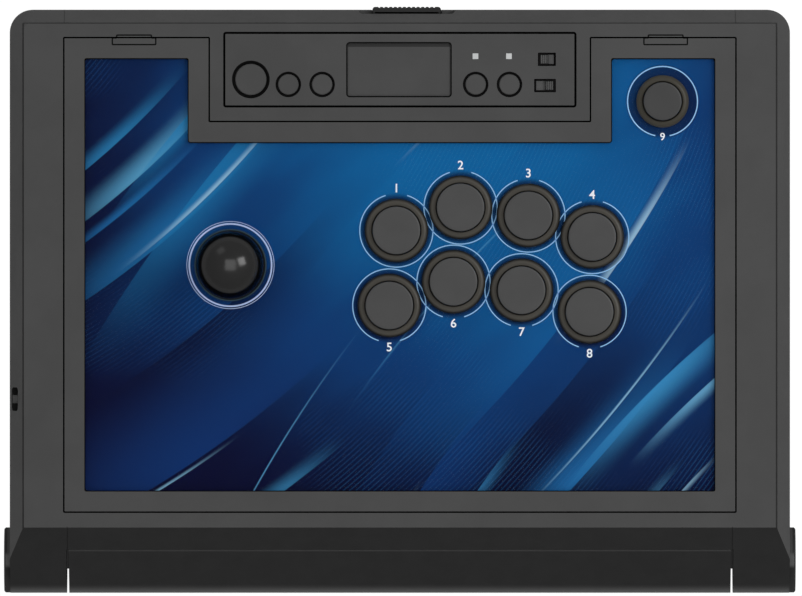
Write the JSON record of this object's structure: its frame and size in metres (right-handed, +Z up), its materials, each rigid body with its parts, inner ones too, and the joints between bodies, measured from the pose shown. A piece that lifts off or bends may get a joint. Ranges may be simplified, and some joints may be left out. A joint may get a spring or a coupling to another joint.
{
  "type": "arcade fight stick",
  "caption": "Arcade stick: flat wedge-fronted case that opens on a front hinge, ball-top lever, round push buttons and a strip of small controls along the back.",
  "frame": {"origin": "centre of the bounding box's bottom face, on the surface that the mat rests on", "axes": "+X to the player's right, along the longest extent; +Y away from the player; +Z up"},
  "size_m": [0.4164, 0.3082, 0.122],
  "materials": {
    "base_plastic": "fine moulded grain",
    "case_plastic": "fine moulded grain",
    "cap_plastic": "satin",
    "bezel_plastic": "satin",
    "clip_plastic": "satin",
    "strip_plastic": "satin",
    "pad_plastic": "fine grain",
    "button_plastic": "satin",
    "knob_plastic": "satin",
    "latch_plastic": "satin with ribs",
    "rim_plastic": "gloss",
    "plunger_plastic": "gloss",
    "nut_plastic": "moulded",
    "ball_plastic": "high gloss",
    "washer_plastic": "gloss",
    "clear_sheet": "clear acrylic",
    "printed_film": "printed",
    "lens_plastic": "frosted",
    "mat_rubber": "fine ribbed",
    "pin_steel": "turned",
    "plate_steel": "zinc grey",
    "screw_steel": "zinc",
    "shaft_steel": "polished",
    "spring_steel": "wound",
    "socket_metal": "stamped",
    "standoff_brass": "turned",
    "board_laminate": "solder mask",
    "switch_plastic": "moulded",
    "jack_plastic": "moulded",
    "housing_plastic": "moulded",
    "gate_plastic": "translucent",
    "nylon_plastic": "natural nylon",
    "cover_plastic": "polished"
  },
  "bodies": {
    "base": {"bottom_case": "base_plastic", "base_mat": "mat_rubber", "hinge_pins": "pin_steel", "latch_strike": "pin_steel"},
    "lid": {"top_case": "case_plastic", "hinge_caps": "cap_plastic", "bezel_frame": "bezel_plastic", "bezel_clips": "clip_plastic", "clear_panel": "clear_sheet", "artwork_sheet": "printed_film", "mounting_plate": "plate_steel", "plate_screws": "screw_steel", "control_strip": "strip_plastic", "status_lenses": "lens_plastic", "control_board": "board_laminate", "control_switches": "switch_plastic", "main_board": "board_laminate", "board_standoffs": "standoff_brass", "headset_jack": "jack_plastic", "usb_socket": "socket_metal", "button_bodies": "rim_plastic", "option_body": "rim_plastic", "button_nuts": "nut_plastic", "button_switches": "switch_plastic", "lever_mount_plate": "plate_steel", "lever_screws": "screw_steel", "lever_housing": "housing_plastic", "lever_switches": "switch_plastic", "lever_gate": "gate_plastic", "latch_spring": "spring_steel"},
    "latch": {"latch_button": "latch_plastic"},
    "tilt_x": {"pivot_ring": "nylon_plastic"},
    "tilt_y": {"pivot_ball": "nylon_plastic", "shaft_cover": "cover_plastic", "lever_spring": "spring_steel"},
    "stick": {"lever_shaft": "shaft_steel", "ball_top": "ball_plastic", "actuator": "nylon_plastic", "e_clip": "spring_steel"},
    "inner_washer": {"lower_washer": "washer_plastic"},
    "outer_washer": {"dust_washer": "washer_plastic"},
    "home": {"home_button": "button_plastic"},
    "share": {"share_button": "button_plastic"},
    "function": {"function_button": "button_plastic"},
    "aux_left": {"aux_left_button": "button_plastic"},
    "aux_right": {"aux_right_button": "button_plastic"},
    "pad": {"touch_pad": "pad_plastic"},
    "lock": {"lock_switch": "knob_plastic"},
    "mode": {"mode_switch": "knob_plastic"},
    "option": {"option_plunger": "plunger_plastic"},
    "button_1": {"plunger_1": "plunger_plastic"},
    "button_2": {"plunger_2": "plunger_plastic"},
    "button_3": {"plunger_3": "plunger_plastic"},
    "button_4": {"plunger_4": "plunger_plastic"},
    "button_5": {"plunger_5": "plunger_plastic"},
    "button_6": {"plunger_6": "plunger_plastic"},
    "button_7": {"plunger_7": "plunger_plastic"},
    "button_8": {"plunger_8": "plunger_plastic"}
  },
  "joints": [
    {"name": "lid_hinge", "type": "hinge", "parent": "base", "child": "lid", "pos_m": [0, -0.1368, 0.0195], "axis": [1, 0, 0], "range_deg": [0, 95]},
    {"name": "latch_press", "type": "slide", "parent": "lid", "child": "latch", "axis": [0, -1, 0], "range_m": [0, 0.003], "stiffness_N_per_m": 400, "springref_m": -0.002, "deforming": ["latch_spring"]},
    {"name": "lever_tilt_x", "type": "hinge", "parent": "lid", "child": "tilt_x", "pos_m": [-0.08893, 0.01838, 0.048], "axis": [1, 0, 0], "range_deg": [-8.5, 8.5], "stiffness_Nm_per_rad": 1.2},
    {"name": "lever_tilt_y", "type": "hinge", "parent": "tilt_x", "child": "tilt_y", "pos_m": [-0.08893, 0.01838, 0.048], "axis": [0, 1, 0], "range_deg": [-8.5, 8.5], "stiffness_Nm_per_rad": 1.2},
    {"name": "lever_spin", "type": "hinge", "parent": "tilt_y", "child": "stick", "pos_m": [-0.08893, 0.01838, 0.048], "axis": [0, 0, 1], "continuous": true},
    {"name": "washer_shift_x", "type": "slide", "parent": "lid", "child": "inner_washer", "axis": [1, 0, 0], "range_m": [-0.0024, 0.0024]},
    {"name": "washer_shift_y", "type": "slide", "parent": "inner_washer", "child": "outer_washer", "axis": [0, 1, 0], "range_m": [-0.0024, 0.0024]},
    {"name": "button_1_press", "type": "slide", "parent": "lid", "child": "button_1", "axis": [0, 0, -1], "range_m": [0, 0.003], "stiffness_N_per_m": 150, "springref_m": -0.003},
    {"name": "button_2_press", "type": "slide", "parent": "lid", "child": "button_2", "axis": [0, 0, -1], "range_m": [0, 0.003], "stiffness_N_per_m": 150, "springref_m": -0.003},
    {"name": "button_3_press", "type": "slide", "parent": "lid", "child": "button_3", "axis": [0, 0, -1], "range_m": [0, 0.003], "stiffness_N_per_m": 150, "springref_m": -0.003},
    {"name": "button_4_press", "type": "slide", "parent": "lid", "child": "button_4", "axis": [0, 0, -1], "range_m": [0, 0.003], "stiffness_N_per_m": 150, "springref_m": -0.003},
    {"name": "button_5_press", "type": "slide", "parent": "lid", "child": "button_5", "axis": [0, 0, -1], "range_m": [0, 0.003], "stiffness_N_per_m": 150, "springref_m": -0.003},
    {"name": "button_6_press", "type": "slide", "parent": "lid", "child": "button_6", "axis": [0, 0, -1], "range_m": [0, 0.003], "stiffness_N_per_m": 150, "springref_m": -0.003},
    {"name": "button_7_press", "type": "slide", "parent": "lid", "child": "button_7", "axis": [0, 0, -1], "range_m": [0, 0.003], "stiffness_N_per_m": 150, "springref_m": -0.003},
    {"name": "button_8_press", "type": "slide", "parent": "lid", "child": "button_8", "axis": [0, 0, -1], "range_m": [0, 0.003], "stiffness_N_per_m": 150, "springref_m": -0.003},
    {"name": "option_press", "type": "slide", "parent": "lid", "child": "option", "axis": [0, 0, -1], "range_m": [0, 0.003], "stiffness_N_per_m": 150, "springref_m": -0.003},
    {"name": "home_press", "type": "slide", "parent": "lid", "child": "home", "axis": [0, 0, -1], "range_m": [0, 0.001], "stiffness_N_per_m": 300, "springref_m": -0.001},
    {"name": "share_press", "type": "slide", "parent": "lid", "child": "share", "axis": [0, 0, -1], "range_m": [0, 0.001], "stiffness_N_per_m": 300, "springref_m": -0.001},
    {"name": "function_press", "type": "slide", "parent": "lid", "child": "function", "axis": [0, 0, -1], "range_m": [0, 0.001], "stiffness_N_per_m": 300, "springref_m": -0.001},
    {"name": "aux_left_press", "type": "slide", "parent": "lid", "child": "aux_left", "axis": [0, 0, -1], "range_m": [0, 0.001], "stiffness_N_per_m": 300, "springref_m": -0.001},
    {"name": "aux_right_press", "type": "slide", "parent": "lid", "child": "aux_right", "axis": [0, 0, -1], "range_m": [0, 0.001], "stiffness_N_per_m": 300, "springref_m": -0.001},
    {"name": "pad_click", "type": "slide", "parent": "lid", "child": "pad", "axis": [0, 0, -1], "range_m": [0, 0.0004], "stiffness_N_per_m": 800, "springref_m": -0.0005},
    {"name": "lock_slide", "type": "slide", "parent": "lid", "child": "lock", "axis": [1, 0, 0], "range_m": [0, 0.0036]},
    {"name": "mode_slide", "type": "slide", "parent": "lid", "child": "mode", "axis": [-1, 0, 0], "range_m": [0, 0.0056]}
  ],
  "couplings": [
    {"joint": "washer_shift_x", "follows": "lever_tilt_y", "m_per_rad": 0.0153},
    {"joint": "washer_shift_y", "follows": "lever_tilt_x", "m_per_rad": -0.0153}
  ]
}
